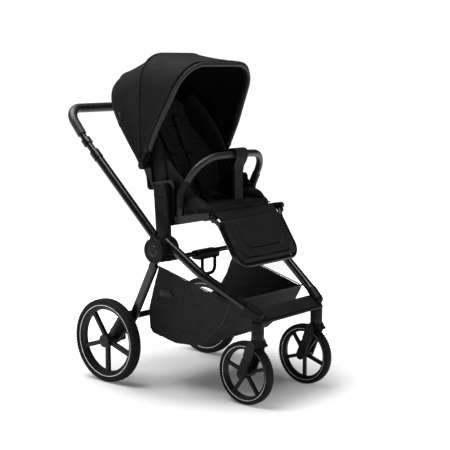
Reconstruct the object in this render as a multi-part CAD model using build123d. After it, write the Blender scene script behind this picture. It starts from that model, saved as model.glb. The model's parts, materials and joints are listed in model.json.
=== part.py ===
"""Full-size folding baby stroller: chassis, telescopic push frame, castors, reversible seat, canopy, basket.

Millimetres, +Z up, ground at Z = 0. The front faces -Y, the child's left is +X.
The origin is the centre of the footprint. Each left-hand part is drawn at +X and mirrored in the YZ plane.
"""
from build123d import *
import os
from math import cos, radians, sin

os.makedirs("parts", exist_ok=True)

# ---------------------------------------------------------------- driving dimensions
HUB_Y, HUB_Z = -21.0, 500.0        # the fold joint's axis runs along X through this point
HUB_R = 43.0
HUB_PIN_R = 9.0
RUN_GAP = 0.05                     # radial running clearance of a pin in its bore
AIR = 0.4                          # clearance between parts that pass each other
HOUSING_X = (200.0, 246.7)         # layers of the fold joint, from the inside out
LEG_X = (247.0, 261.7)
PUSH_X = (262.0, 276.0)
CAP_X = (276.3, 285.0)
LEG_KNUCKLE_R = 27.0

REAR_R, REAR_X, REAR_Y = 150.0, 266.0, 223.0
REAR_TYRE_W = 44.0
FRONT_R, CASTOR_X, STEM_Y = 108.0, 165.0, -378.0
FRONT_TYRE_W = 36.0
TRAIL = 48.0
REAR_AXLE_R, FRONT_AXLE_R = 6.0, 5.0

PUSH_X_MID = 262.0
PUSH_ANGLE = 43.2
PUSH_OFFSET = 25.0                 # the push tube's line passes this far in front of the hub's axis
SLEEVE_R, SLEEVE_BORE = 15.5, 12.1
INNER_TUBE_R = 12.0
PUSH_START, SLEEVE_END = 45.0, 432.0
HANDLE_INNER_END, GRIP_START = 270.0, 511.0
GRIP_LEN, GRIP_KINK = 130.0, 6.0    # the grips lean this much further forward than the tubes
GRIP_R, HANDLE_BEND_R = 16.5, 62.0

LEG_TOP, LEG_BOTTOM = (250.0, 6.0, 446.0), (230.0, 126.0, 248.0)
LEG_W, LEG_D = 20.0, 33.0
CROSSBAR_Y, CROSSBAR_Z = 150.0, 238.0

FRONT_TUBE_R = 15.5
FRONT_TUBE_POINTS = [(242, -42, 530), (230, -190, 431), (184, -344, 337)]

SEAT_CAP_Y, SEAT_CAP_Z = 7.0, 692.0          # rounded caps of the adapters on the posts
SEAT_HINGE_Y, SEAT_HINGE_Z = -24.0, 716.0    # recline hinge
LEGREST_Y, LEGREST_Z, LEGREST_ANGLE, LEGREST_LEN = -195.0, 624.5, 57.7, 206.0
BACK_ANGLE = 62.0
BACK_BASE_Y, BACK_BASE_Z = 50.0, 672.0
BACK_LEN, PAD_T = 382.0, 28.0

CANOPY_Y, CANOPY_Z = 92.0, 778.0
FRONT_BOW, MID_BOW, REAR_BOW = 116.0, 85.0, 58.0     # angles above +Y about the canopy's pivot
# each arch of the hood: half width at the pivot, height above the pivot, corner radius
FRONT_ARCH, FRONT_ARCH_BACK = (213.5, 393.0, 105.0), (213.5, 389.0, 112.0)
MID_ARCH, MID_ARCH_BACK = (207.8, 371.5, 115.0), (207.0, 357.0, 100.0)
REAR_ARCH, REAR_ARCH_BACK = (202.9, 350.5, 96.0), (202.9, 347.0, 96.0)
HOOD_T = 1.6
HOOD_LOW, HOOD_KNEE, HOOD_LEAN = 18.0, 150.0, 33.0   # radii where the side starts and bends, and its lean


# ---------------------------------------------------------------- helpers
def direction(angle):
    """Unit vector in the YZ plane, at an angle above +Y."""
    return cos(radians(angle)), sin(radians(angle))


def push_point(s, lift=0.0):
    """Point on the push tube's line, s along it from the hub, lift above it."""
    dy, dz = direction(PUSH_ANGLE)
    side = PUSH_OFFSET + lift
    return HUB_Y + s * dy - side * dz, HUB_Z + s * dz + side * dy


def back_point(u, depth=0.0):
    """Point on the backrest: u up its front face, depth behind that face."""
    dy, dz = direction(BACK_ANGLE)
    return BACK_BASE_Y + u * dy + depth * dz, BACK_BASE_Z + u * dz - depth * dy


def legrest_point(s, lift=0.0):
    """Point on the leg rest: s down from its hinge, lift out of its upper face."""
    dy, dz = direction(180 + LEGREST_ANGLE)
    return LEGREST_Y + s * dy + lift * dz, LEGREST_Z + s * dz - lift * dy


def hood_point(angle, r):
    dy, dz = direction(angle)
    return CANOPY_Y + r * dy, CANOPY_Z + r * dz


def x_cylinder(y, z, r, x0, x1):
    return Pos((x0 + x1) / 2, y, z) * Rot(0, 90, 0) * Cylinder(r, x1 - x0)


def x_plate(points, x0, x1):
    """Solid between x0 and x1 whose side view is the closed outline of (y, z) points."""
    return extrude(Plane.YZ.offset(x0) * make_face(Polyline(*points, close=True)), amount=x1 - x0)


def x_link(a, ra, b, rb, x0, x1):
    """Rounded link plate between two (y, z) centres."""
    ends = (Pos(*a) * Circle(ra)).edges() + (Pos(*b) * Circle(rb)).edges()
    return extrude(Plane.YZ.offset(x0) * make_hull(ends), amount=x1 - x0)


def rod(a, b, r):
    """Round bar between two 3-D points."""
    start, end = Vector(*a), Vector(*b)
    return extrude(Plane(origin=start, z_dir=end - start) * Circle(r), amount=(end - start).length)


def bent_rod(points, bends, r):
    """Round bar along runs joined by arcs of the given radii."""
    path = FilletPolyline(*points, radius=bends)
    return sweep(Plane(origin=path @ 0, z_dir=path % 0) * Circle(r), path=path)


def mirrored(points):
    """A left-hand run of points continued to the right-hand side."""
    return list(points) + [(-x, y, z) for x, y, z in reversed(points)]


def turned(profile, y, z):
    """Solid of revolution about X of a closed (x, radius) outline."""
    face = Plane.XZ * make_face(Polyline(*profile, close=True))
    return Pos(0, y, z) * revolve(face, axis=Axis.X)


def save(name, shape):
    export_step(shape, f"parts/{name}.step")


def save_pair(name, left):
    save(name + "_left", left)
    save(name + "_right", mirror(left, about=Plane.YZ))


def both(left):
    return left + mirror(left, about=Plane.YZ)


# ---------------------------------------------------------------- fold joint and chassis
def hub_cowl():
    """Fixed ring in the leg's layer, open where the leg swings."""
    layer = (HOUSING_X[1], LEG_X[1])
    ring = x_cylinder(HUB_Y, HUB_Z, HUB_R, *layer) - x_cylinder(HUB_Y, HUB_Z, LEG_KNUCKLE_R + AIR, *layer)
    reach = 2 * HUB_R
    mouth = [(HUB_Y, HUB_Z)]
    for angle in (-28, -60, -90, -120, -152):
        dy, dz = direction(angle)
        mouth.append((HUB_Y + reach * dy, HUB_Z + reach * dz))
    return ring - x_plate(mouth, LEG_X[0] - 1, LEG_X[1] + 1)


def front_tube():
    tube = bent_rod(FRONT_TUBE_POINTS, 320, FRONT_TUBE_R)
    return tube - x_cylinder(HUB_Y, HUB_Z, LEG_KNUCKLE_R + 1, LEG_X[0] - AIR, PUSH_X[0])


def hub_housing(tube):
    body = x_cylinder(HUB_Y, HUB_Z, HUB_R, *HOUSING_X)
    return body + hub_cowl() - tube


def hub_cap():
    disc = x_cylinder(HUB_Y, HUB_Z, HUB_R, *CAP_X)
    disc = fillet(disc.edges().group_by(Axis.X)[-1], 2.5)
    groove = x_cylinder(HUB_Y, HUB_Z, 37, CAP_X[1] - 1, CAP_X[1]) - x_cylinder(HUB_Y, HUB_Z, 34, CAP_X[1] - 1, CAP_X[1])
    return disc - groove + x_cylinder(HUB_Y, HUB_Z, HUB_PIN_R, HOUSING_X[1], CAP_X[0])


POST_X = (200.5, 220.2)
POST_TOP = 674.0
TONGUE_Y, TONGUE_X = (-12.5, 22.5), (207.0, 214.0)


def seat_post(tube):
    post = x_plate([(-32, 520), (26, 520), (36, POST_TOP), (-26, POST_TOP)], *POST_X)
    post = fillet(post.edges().filter_by(lambda e: e.length > 140), 5)
    slot = Box(8, 36, 42, align=(Align.CENTER, Align.CENTER, Align.MAX))
    post -= Pos(sum(TONGUE_X) / 2, sum(TONGUE_Y) / 2, POST_TOP) * slot
    return post - x_cylinder(HUB_Y, HUB_Z, HUB_R, *POST_X) - tube


FOOT_Y, FOOT_Z, FOOT_TILT = -369.0, 300.0, 27.6     # the bar rises towards the rear
FOOT_HALF = 172.0
SOCKET_R, SOCKET_Z, STEM_R = 21.5, (249.5, 286.0), 8.0


def foot_section(major, minor, half_width):
    section = Plane.YZ.offset(-half_width) * Pos(FOOT_Y, FOOT_Z) * Rot(0, 0, FOOT_TILT) * Ellipse(major, minor)
    return extrude(section, amount=2 * half_width)


def castor_socket():
    socket = Pos(CASTOR_X, STEM_Y, sum(SOCKET_Z) / 2) * Cylinder(SOCKET_R, SOCKET_Z[1] - SOCKET_Z[0])
    bore = Pos(CASTOR_X, STEM_Y, SOCKET_Z[0] + 15.5) * Cylinder(STEM_R + RUN_GAP, 31)
    return fillet(socket.edges().group_by(Axis.Z)[-1], 4) - bore


def footrest_bar(socket, tube):
    end = (FOOT_HALF - 6, -384, 312)
    arm = rod(FRONT_TUBE_POINTS[-1], end, 17.5) + Pos(*end) * Sphere(17.5)
    bar = foot_section(35, 14, FOOT_HALF) + both(arm) - both(socket) - both(tube)
    return bar.solids().sort_by(SortBy.VOLUME)[-1]


def footrest_grip(bar):
    strip = foot_section(38, 16.5, 140)
    dy, dz = direction(FOOT_TILT)
    keep = [(FOOT_Y + t * dy - n * dz, FOOT_Z + t * dz + n * dy) for t, n in ((-26, 4), (26, 4), (26, 20), (-26, 20))]
    strip &= x_plate(keep, -140, 140)
    for i in range(-2, 3):
        t, n = i * 9, 17.2 - 0.35 * abs(i)
        strip -= x_cylinder(FOOT_Y + t * dy - n * dz, FOOT_Z + t * dz + n * dy, 1.6, -136, 136)
    return strip - bar


FOLD_BAR_Y, FOLD_BAR_Z, FOLD_BAR_R = -8.0, 460.0, 9.0
LOOP_Y, LOOP_R, LOOP_X, LOOP_BOTTOM, LOOP_TOP = -22.0, 6.0, 34.0, 384.0, 446.0


def fold_housing(bar):
    box = Pos(0, FOLD_BAR_Y, FOLD_BAR_Z - 6) * Box(104, 46, 32)
    box = fillet(box.edges().filter_by(Axis.X), 10)
    box = fillet(box.edges().group_by(Axis.X)[0] + box.edges().group_by(Axis.X)[-1], 3)
    bore = Pos(LOOP_X, LOOP_Y, LOOP_TOP - 1) * Cylinder(LOOP_R + AIR, 28)
    return box - bar - both(bore)


def fold_loop():
    points = [(LOOP_X, LOOP_Y, LOOP_TOP), (LOOP_X, LOOP_Y, LOOP_BOTTOM)]
    return bent_rod(mirrored(points), 24, LOOP_R)


# ---------------------------------------------------------------- basket
BASKET_SIDE = [(31, 432), (-291, 345), (-277, 320), (-251, 269), (-150, 177), (-28, 165), (78, 186), (90, 204), (88, 267)]
BASKET_WALL = 3.0


def basket_block(side, shrink):
    """Side outline cut to the basket's width from the front (narrower below) and from above (narrower ahead)."""
    low, high = 165 - shrink, 216 - shrink
    front = [(-low, 100), (low, 100), (high, 520), (-high, 520)]
    ahead, behind = 187 - shrink, 218 - shrink
    above = [(-ahead, -380), (ahead, -380), (behind, 150), (-behind, 150)]
    block = x_plate(side, -250, 250)
    block &= extrude(Plane.XZ.offset(-100) * make_face(Polyline(*front, close=True)), amount=450)
    return block & extrude(Plane.XY * make_face(Polyline(*above, close=True)), amount=500)


def basket():
    inner = [(27, 480), (-320, 381), (-285, 341), (-274, 321), (-248, 272), (-148, 180.5), (-28, 168.2), (76, 188.8),
             (87, 205.5), (85, 266.5)]
    return basket_block(BASKET_SIDE, 0) - basket_block(inner, BASKET_WALL)


# ---------------------------------------------------------------- push frame and handle
def push_tube():
    start, end = push_point(PUSH_START), push_point(SLEEVE_END)
    tube = rod((PUSH_X_MID, *start), (PUSH_X_MID, *end), SLEEVE_R)
    collar = rod((PUSH_X_MID, *push_point(SLEEVE_END - 26)), (PUSH_X_MID, *push_point(SLEEVE_END + 8)), SLEEVE_R + 2)
    return tube + collar - rod((PUSH_X_MID, *start), (PUSH_X_MID, *push_point(SLEEVE_END + 9)), SLEEVE_BORE)


def push_knuckle():
    disc = x_cylinder(HUB_Y, HUB_Z, HUB_R - 1, *PUSH_X)
    half = 12.0
    neck = x_plate([push_point(0, -half), push_point(PUSH_START, -half), push_point(PUSH_START, half),
                    push_point(0, half)], *PUSH_X)
    plug = rod((PUSH_X_MID, *push_point(PUSH_START - 1.5)), (PUSH_X_MID, *push_point(PUSH_START + 34)), INNER_TUBE_R)
    return disc + neck + plug - x_cylinder(HUB_Y, HUB_Z, HUB_PIN_R + RUN_GAP, *PUSH_X)


KINK_R = 200.0
BUTTON_S, BUTTON_R = 494.0, 5.5
BUTTON_X = (241.0, 252.0)


def grip_end():
    """Where the grips' leaning line reaches the handle's cross piece."""
    y, z = push_point(GRIP_START)
    dy, dz = direction(PUSH_ANGLE + GRIP_KINK)
    return y + GRIP_LEN * dy, z + GRIP_LEN * dz


def handle_path(start, radius):
    """Round bar from s = start on one side, over the kinks and corners, to the other side."""
    points = [(PUSH_X_MID, *push_point(start)), (PUSH_X_MID, *push_point(GRIP_START)), (PUSH_X_MID, *grip_end())]
    return bent_rod(mirrored(points), [KINK_R, HANDLE_BEND_R, HANDLE_BEND_R, KINK_R], radius)


def handle_bar():
    bar = handle_path(HANDLE_INNER_END, INNER_TUBE_R)
    collar = rod((PUSH_X_MID, *push_point(GRIP_START - 34)), (PUSH_X_MID, *push_point(GRIP_START - 12)), GRIP_R + 1)
    core = rod((PUSH_X_MID, *push_point(HANDLE_INNER_END)), (PUSH_X_MID, *push_point(GRIP_START - 10)), 10)
    bore = x_cylinder(*push_point(BUTTON_S), BUTTON_R + AIR, 240, 258)
    return bar + both(collar) - both(core) - both(bore)


def handle_grip():
    points = [(PUSH_X_MID, *push_point(GRIP_START + 10)), (PUSH_X_MID, *grip_end())]
    y0, z0 = push_point(GRIP_START)
    dy, dz = direction(PUSH_ANGLE + GRIP_KINK)
    points[0] = (PUSH_X_MID, y0 + 12 * dy, z0 + 12 * dz)
    skin = bent_rod(mirrored(points), HANDLE_BEND_R, GRIP_R)
    return skin - handle_path(HANDLE_INNER_END, INNER_TUBE_R)


def handle_button():
    button = x_cylinder(*push_point(BUTTON_S), BUTTON_R, *BUTTON_X)
    return fillet(button.edges().group_by(Axis.X)[0], 1.5)


# ---------------------------------------------------------------- rear legs, axle, brake
def rear_leg():
    top, bottom = Vector(*LEG_TOP), Vector(*LEG_BOTTOM)
    along = (bottom - top).normalized()
    plane = Plane(origin=top, x_dir=(1, 0, 0), z_dir=along)
    tube = extrude(plane * RectangleRounded(LEG_W, LEG_D, 8), amount=(bottom - top).length)
    tube -= x_cylinder(HUB_Y, HUB_Z, HUB_R + 4, HOUSING_X[0], LEG_X[0])
    disc = x_cylinder(HUB_Y, HUB_Z, LEG_KNUCKLE_R, *LEG_X)
    neck = x_link((HUB_Y, HUB_Z), 12, (LEG_TOP[1] + 5, LEG_TOP[2] - 8), 12, *LEG_X)
    return tube + disc + neck - x_cylinder(HUB_Y, HUB_Z, HUB_PIN_R + RUN_GAP, *LEG_X)


BRACKET_X = (219.5, 240.0)
AXLE_X = (186.0, 283.0)


def rear_axle():
    return x_cylinder(REAR_Y, REAR_R, REAR_AXLE_R, *AXLE_X)


def axle_bracket(leg, bar):
    arm = x_link((139, 243), 21, (REAR_Y, REAR_R), 17, *BRACKET_X)
    arm = fillet(arm.edges().group_by(Axis.X)[-1], 3)
    boss = x_cylinder(REAR_Y, REAR_R, 14, BRACKET_X[0] - 5, BRACKET_X[1] + 3)
    return arm + boss - leg - bar - rear_axle()


def rear_crossbar():
    return x_cylinder(CROSSBAR_Y, CROSSBAR_Z, 11, -232, 232)


def brake_pedal():
    """Foot pedal turning on the inner end of the right-hand axle."""
    sleeve = x_cylinder(REAR_Y, REAR_R, 13, -213.5, -188)
    paddle = x_plate([(212, 158), (262, 166), (268, 172), (264, 178), (214, 172)], -212, -178)
    paddle = fillet(paddle.edges().filter_by(Axis.X), 2.4)
    return sleeve + paddle - x_cylinder(REAR_Y, REAR_R, REAR_AXLE_R + RUN_GAP, -217, -177)


# ---------------------------------------------------------------- wheels
def tyre(r, width, rim_r, y, z, x):
    h = width / 2
    profile = [(x - 0.62 * h, rim_r), (x + 0.62 * h, rim_r), (x + 0.96 * h, rim_r + 0.35 * (r - rim_r)),
               (x + h, rim_r + 0.62 * (r - rim_r)), (x + 0.78 * h, r - 0.1 * (r - rim_r)), (x + 0.4 * h, r),
               (x - 0.4 * h, r), (x - 0.78 * h, r - 0.1 * (r - rim_r)), (x - h, rim_r + 0.62 * (r - rim_r)),
               (x - 0.96 * h, rim_r + 0.35 * (r - rim_r))]
    return turned(profile, y, z)


def rim(rim_r, ring_t, width, hub_r, hub_x, bore_r, bore_x, y, z, x, turn):
    """Ring, five spokes and a hub; turn is the first spoke's angle above +Y."""
    h = width / 2
    inner = rim_r - ring_t
    ring = turned([(x - h, rim_r), (x + h, rim_r), (x + h, rim_r - 5), (x + 0.55 * h, inner), (x - 0.55 * h, inner),
                   (x - h, rim_r - 5)], y, z)
    wheel = ring + x_cylinder(y, z, hub_r, *hub_x)
    spoke = Pos(0, 0, (hub_r + rim_r) / 2 - 3) * Box(0.55 * width, 0.72 * hub_r, rim_r - hub_r - 1)
    spoke = fillet(spoke.edges().filter_by(Axis.Z), 2.5)
    for i in range(5):
        wheel += Pos(x, y, z) * Rot(turn - 90 + 72 * i, 0, 0) * spoke
    return wheel - x_cylinder(y, z, bore_r, *bore_x)


# ---------------------------------------------------------------- front castors
FORK_X = (26.6, 31.0)              # distances from the wheel's middle plane
ARM_X = (21.8, 26.2)
ARM_PIVOT = (-357.0, 172.0)
FRONT_AXLE = (STEM_Y + TRAIL, FRONT_R)
PIVOT_PIN_R = 4.0


def castor_fork():
    cheek = x_link(ARM_PIVOT, 17, (STEM_Y + 5, 212), 17, CASTOR_X + FORK_X[0], CASTOR_X + FORK_X[1])
    neck_low, neck_top, skirt_z = 228, 249, 208
    neck = Pos(CASTOR_X, STEM_Y, (neck_low + neck_top) / 2) * Cylinder(SOCKET_R, neck_top - neck_low)
    throat = Plane.XY.offset(neck_low) * Pos(CASTOR_X, STEM_Y) * Circle(SOCKET_R)
    hem = Plane.XY.offset(skirt_z) * Pos(CASTOR_X, STEM_Y + 1) * RectangleRounded(2 * FORK_X[1], 66, 24)
    fork = neck + loft([hem, throat]) + cheek + mirror(cheek, about=Plane.YZ.offset(CASTOR_X))
    fork -= x_cylinder(*FRONT_AXLE, FRONT_R + 5, CASTOR_X - 21.4, CASTOR_X + 21.4)
    stem = Pos(CASTOR_X, STEM_Y, neck_top + 15) * Cylinder(STEM_R, 31)
    pin = x_cylinder(*ARM_PIVOT, PIVOT_PIN_R, CASTOR_X - 27, CASTOR_X - 21.5) + x_cylinder(
        *ARM_PIVOT, PIVOT_PIN_R, CASTOR_X + 21.5, CASTOR_X + 27)
    return fork + stem + pin


def castor_arm():
    lower = x_link(FRONT_AXLE, 16, (-349, 154), 16, CASTOR_X + ARM_X[0], CASTOR_X + FORK_X[1])
    lower -= x_cylinder(*ARM_PIVOT, 18.5, CASTOR_X + ARM_X[1], CASTOR_X + FORK_X[1] + 1)
    plate = x_link(FRONT_AXLE, 12, ARM_PIVOT, 13, CASTOR_X + ARM_X[0], CASTOR_X + ARM_X[1])
    side = lower + plate - x_cylinder(*ARM_PIVOT, PIVOT_PIN_R + RUN_GAP, CASTOR_X + 20, CASTOR_X + 27)
    axle = x_cylinder(*FRONT_AXLE, FRONT_AXLE_R, CASTOR_X - ARM_X[0] - 1, CASTOR_X + ARM_X[0] + 1)
    return side + mirror(side, about=Plane.YZ.offset(CASTOR_X)) + axle


# ---------------------------------------------------------------- seat
SEAT_PLATE_X = (188.5, 200.0)
RAIL_BACK = (-28.0, 592.0)
BUMPER_Y, BUMPER_X = -62.0, 191.0


def seat_adapter():
    low = POST_TOP + 0.5
    block = x_plate([(-26, low), (36, low), (37, SEAT_CAP_Z), (-23, SEAT_CAP_Z)], *POST_X)
    cap = x_cylinder(SEAT_CAP_Y, SEAT_CAP_Z, 30, *POST_X)
    body = block + cap - x_plate([(-38, 600), (52, 600), (52, low), (-38, low)], 195, 225)
    body = fillet(body.edges().group_by(Axis.X)[-1], 3)
    tongue = Pos(sum(TONGUE_X) / 2, sum(TONGUE_Y) / 2, POST_TOP + 1) * Box(
        TONGUE_X[1] - TONGUE_X[0], TONGUE_Y[1] - TONGUE_Y[0], 36, align=(Align.CENTER, Align.CENTER, Align.MAX))
    return body + tongue


def seat_frame():
    hinge, front = (SEAT_HINGE_Y, SEAT_HINGE_Z), (LEGREST_Y, LEGREST_Z)
    side = x_link(hinge, 16, RAIL_BACK, 14, *SEAT_PLATE_X) + x_link(RAIL_BACK, 14, front, 12, *SEAT_PLATE_X)
    side -= x_cylinder(*front, 5 + RUN_GAP, *SEAT_PLATE_X)
    socket = Pos(BUMPER_X, BUMPER_Y, 621) * Cylinder(12, 40)
    side += socket
    side -= Pos(BUMPER_X, BUMPER_Y, 631) * Cylinder(6.5, 24)
    side -= x_cylinder(*hinge, 7 + RUN_GAP, *SEAT_PLATE_X)
    frame = both(side)
    for y, z in ((-40, 589), (-168, 610)):
        frame += x_cylinder(y, z, 6.5, -SEAT_PLATE_X[0] - 1, SEAT_PLATE_X[0] + 1)
    return frame


SEAT_TOP = [(18, 632), (-38, 636), (-128, 642), (-168, 644), (-176, 638), (-166, 626)]
SEAT_BELOW = [(-128, 619), (-38, 602), (18, 602)]
WING = [(-8, 620), (-8, 648), (-38, 676), (-83, 690), (-128, 676), (-168, 645), (-164, 624), (-128, 619)]


def seat_pad():
    return x_plate(SEAT_TOP + SEAT_BELOW, -160, 160) + both(x_plate(WING, 150, 172))


def crotch_strap(pad, clasp):
    strap = x_plate([(-36, 632), (-40, 636), (-22, 657), (-18, 655)], -16, 16)
    return strap - pad - clasp


BUCKLE_PLACE = Pos(0, -8, 670) * Rot(-38, 0, 0)


def buckle():
    body = BUCKLE_PLACE * Box(50, 14, 46)
    body = fillet(body.edges().filter_by(lambda e: abs(e.length - 14) < 0.01), 9)
    hole = BUCKLE_PLACE * Pos(0, -5, 2) * Rot(90, 0, 0) * Cylinder(11, 6)
    return body - hole


def buckle_button():
    return BUCKLE_PLACE * Pos(0, -6.6, 2) * Rot(90, 0, 0) * Cylinder(10.4, 3.8)


# ---------------------------------------------------------------- backrest
BACK_PLATE_X = (176.5, 188.1)


def back_hoop(start, r):
    """Inverted U of tube behind the pad."""
    points = [(179.5, *back_point(start, 14)), (165.5, *back_point(230, 14)), (133, *back_point(372, 14))]
    return bent_rod(mirrored(points), [250, 48, 48, 250], r)


def backrest_frame():
    hinge, knee, pivot = (SEAT_HINGE_Y, SEAT_HINGE_Z), back_point(45, 14), (CANOPY_Y, CANOPY_Z)
    side = x_link(hinge, 18, knee, 13, *BACK_PLATE_X) + x_link(knee, 13, pivot, 13, *BACK_PLATE_X)
    side += x_cylinder(*pivot, 10, BACK_PLATE_X[1], 200.1) + x_cylinder(*pivot, 6, 200, 215)
    side += x_cylinder(*hinge, 7, BACK_PLATE_X[1] - 1, SEAT_PLATE_X[1])
    return both(side) + back_hoop(45, 8)


def pad_slab(half_low, half_high, u0, u1, d0, d1):
    """Slab on the backrest's plane, from u0 to u1 and from depth d0 to d1, tapering upwards."""
    y, z = back_point(u0, d0)
    plane = Plane(origin=(0, y, z), x_dir=(1, 0, 0), z_dir=(0, sin(radians(BACK_ANGLE)), -cos(radians(BACK_ANGLE))))
    length = -(u1 - u0)
    outline = [(-half_low, 0), (half_low, 0), (half_high, length), (-half_high, length)]
    return extrude(plane * make_face(Polyline(*outline, close=True)), amount=d1 - d0)


def backrest_pad():
    slab = pad_slab(160, 127, 0, BACK_LEN, 0, PAD_T)
    slab = fillet(slab.edges().filter_by(lambda e: abs(e.length - PAD_T) < 0.01).sort_by(Axis.Z)[-2:], 45)
    outer = x_plate([back_point(20, 5), back_point(20, -10), back_point(90, -29), back_point(180, -20),
                     back_point(250, -2), back_point(250, 5)], 146, 172)
    taper = pad_slab(173, 140, 0, BACK_LEN, -40, PAD_T)
    return slab + (both(outer) & taper) - back_hoop(30, 8.3)


def harness_straps():
    strap = pad_slab(19, 19, 70, 290, -3, -0.3)
    return both(Pos(52, 0, 0) * strap)


LEVER_U = (384.5, 398.0)


def recline_lever():
    bar = pad_slab(38, 36, *LEVER_U, 6, 22)
    return fillet(bar.edges(), 3.5)


# ---------------------------------------------------------------- canopy
def hood_plane(angle):
    """Plane through the pivot's axis; its local Y is the radius at this angle."""
    dy, dz = direction(angle)
    return Plane(origin=(0, CANOPY_Y, CANOPY_Z), x_dir=(1, 0, 0), z_dir=(0, -dz, dy))


def arch_points(arch, shrink, low):
    half, top, _ = arch
    half, top = half - shrink, top - shrink
    return [(half, low), (half - 1, HOOD_KNEE), (half - HOOD_LEAN, top)]


def arch_band(arch, angle):
    """Thin arch-shaped face in the plane at this angle."""
    outer, inner = arch_points(arch, 0, HOOD_LOW), arch_points(arch, HOOD_T, HOOD_LOW)
    corner = arch[2]
    edges = Curve() + FilletPolyline(*outer, *[(-x, r) for x, r in reversed(outer)], radius=[300, corner, corner, 300])
    edges += FilletPolyline(*inner, *[(-x, r) for x, r in reversed(inner)],
                            radius=[300, corner - HOOD_T, corner - HOOD_T, 300])
    edges += Line(outer[0], inner[0])
    edges += Line((-outer[0][0], HOOD_LOW), (-inner[0][0], HOOD_LOW))
    return hood_plane(angle) * make_face(edges)


def hood_panel(arch_a, angle_a, arch_b, angle_b):
    """Cloth stretched straight between two arches."""
    return loft([arch_band(arch_a, angle_a), arch_band(arch_b, angle_b)], ruled=True)


def bow(arch, angle, tube_r, ring_x, bar_half):
    """Flat pivot bars and a round bow inside the hood's edge."""
    half, top, corner = arch
    shrink = tube_r + HOOD_T + 0.4
    lean = half - 6 - shrink
    knee_r = HOOD_KNEE + 6
    run = [(lean, HOOD_KNEE - 2), (half - HOOD_LEAN - shrink, top - shrink)]
    points = [(x, *hood_point(angle, r)) for x, r in run]
    tube = bent_rod(mirrored(points), corner - shrink, tube_r)
    pivot, knee = hood_point(angle, 0), hood_point(angle, knee_r)
    bar = x_link(pivot, 14, knee, bar_half, *ring_x)
    bar += x_link(hood_point(angle, knee_r - 10), bar_half, knee, bar_half, lean, ring_x[0] + 1)
    bar -= x_cylinder(*pivot, PIVOT_R + RUN_GAP, 190, 220)
    return tube + both(bar)


PIVOT_R = 6.0
CURTAIN = [(283, 1075), (300, 1035), (282, 975), (216, 874), (148, 778)]


def rear_hood():
    """Back of the hood: a short band round the rear bow's place and a curtain down to the pivots."""
    band = hood_panel(REAR_ARCH, REAR_BOW + 4, REAR_ARCH_BACK, REAR_BOW - 4)
    strip = x_plate(CURTAIN + [(y - 2.4, z) for y, z in reversed(CURTAIN)], -230, 230)
    half, top, corner = REAR_ARCH_BACK
    run = [(half - 2, 0), (half - 4, HOOD_KNEE - 20), (half - HOOD_LEAN - 5, 314)]
    outline = FilletPolyline(*run, *[(-x, r) for x, r in reversed(run)], radius=[300, 120, 120, 300])
    face = make_face(outline + Line((2 - half, 0), (half - 2, 0)))
    strip &= extrude(Plane.XZ.offset(-100) * Pos(0, 745) * face, amount=-230)
    tab = both(x_link((CANOPY_Y, CANOPY_Z), 14, hood_point(REAR_BOW, 40), 8, 200.7, 204.7))
    return band + strip + tab - x_cylinder(CANOPY_Y, CANOPY_Z, PIVOT_R + RUN_GAP, -215, 215)


# ---------------------------------------------------------------- bumper bar
BUMPER_R = 12.5
BUMPER_MID = (-160.0, 819.0)       # the bar bows forward to here on the centre line


def bumper_bar():
    points = [(BUMPER_X, BUMPER_Y, 642), (BUMPER_X, BUMPER_Y - 4, 690), (173, -137, 812)]
    points += [(0, *BUMPER_MID)] + [(-x, y, z) for x, y, z in reversed(points)]
    bar = bent_rod(points, [60, 100, 520, 100, 60], BUMPER_R)
    pin = Pos(BUMPER_X, BUMPER_Y, 632) * Cylinder(6, 20)
    return bar + both(pin)


def bumper_strap(bar):
    y, z = BUMPER_MID
    sleeve = x_cylinder(y + 5, z, BUMPER_R + 5, -30, 30)
    tongue = x_plate([(y, z - 12), (y - 2.5, z - 12), (-152, 656), (-149.5, 656)], -30, 30)
    return sleeve + tongue - bar


# ---------------------------------------------------------------- leg rest
LEGREST_PLATE_X = (176.5, 188.1)
LEGREST_TUBE_R = 7.5


def legrest_hoop(r):
    """U of tube round the pad."""
    points = [(180, *legrest_point(14)), (166, *legrest_point(40)), (168, *legrest_point(LEGREST_LEN - 10))]
    return bent_rod(mirrored(points), [24, 50, 50, 24], r)


def legrest_frame():
    hinge = (LEGREST_Y, LEGREST_Z)
    side = x_link(hinge, 12, legrest_point(18), 9, *LEGREST_PLATE_X)
    side += x_cylinder(*hinge, 5, LEGREST_PLATE_X[1] - 1, 201.5) + x_cylinder(*hinge, 9, 200.5, 204.5)
    return both(side) + legrest_hoop(LEGREST_TUBE_R)


def legrest_pad():
    low, thick = 20, 18
    y, z = legrest_point(low, -thick / 2)
    dy, dz = direction(180 + LEGREST_ANGLE)
    plane = Plane(origin=(0, y, z), x_dir=(1, 0, 0), z_dir=(0, dz, -dy))
    end = low + 12 - LEGREST_LEN
    outline = [(-163, 0), (163, 0), (165, end), (-165, end)]
    pad = extrude(plane * make_face(Polyline(*outline, close=True)), amount=thick)
    pad = fillet(pad.edges().filter_by(lambda e: abs(e.length - thick) < 0.01).sort_by(Axis.Z)[:2], 46)
    return pad - legrest_hoop(LEGREST_TUBE_R + 0.3)


# ---------------------------------------------------------------- write every part
tube = front_tube()
socket = castor_socket()
foot = footrest_bar(socket, tube)
bar = x_cylinder(FOLD_BAR_Y, FOLD_BAR_Z, FOLD_BAR_R, -HOUSING_X[0], HOUSING_X[0])
save_pair("front_tube", tube)
save_pair("hub_housing", hub_housing(tube))
save("hub_caps", both(hub_cap()))
save_pair("seat_post", seat_post(tube))
save("castor_sockets", both(socket))
save("footrest_bar", foot)
save("footrest_grip", footrest_grip(foot))
save("fold_bar", bar)
save("fold_housing", fold_housing(bar))
save("fold_loop", fold_loop())
save("basket", basket())

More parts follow.
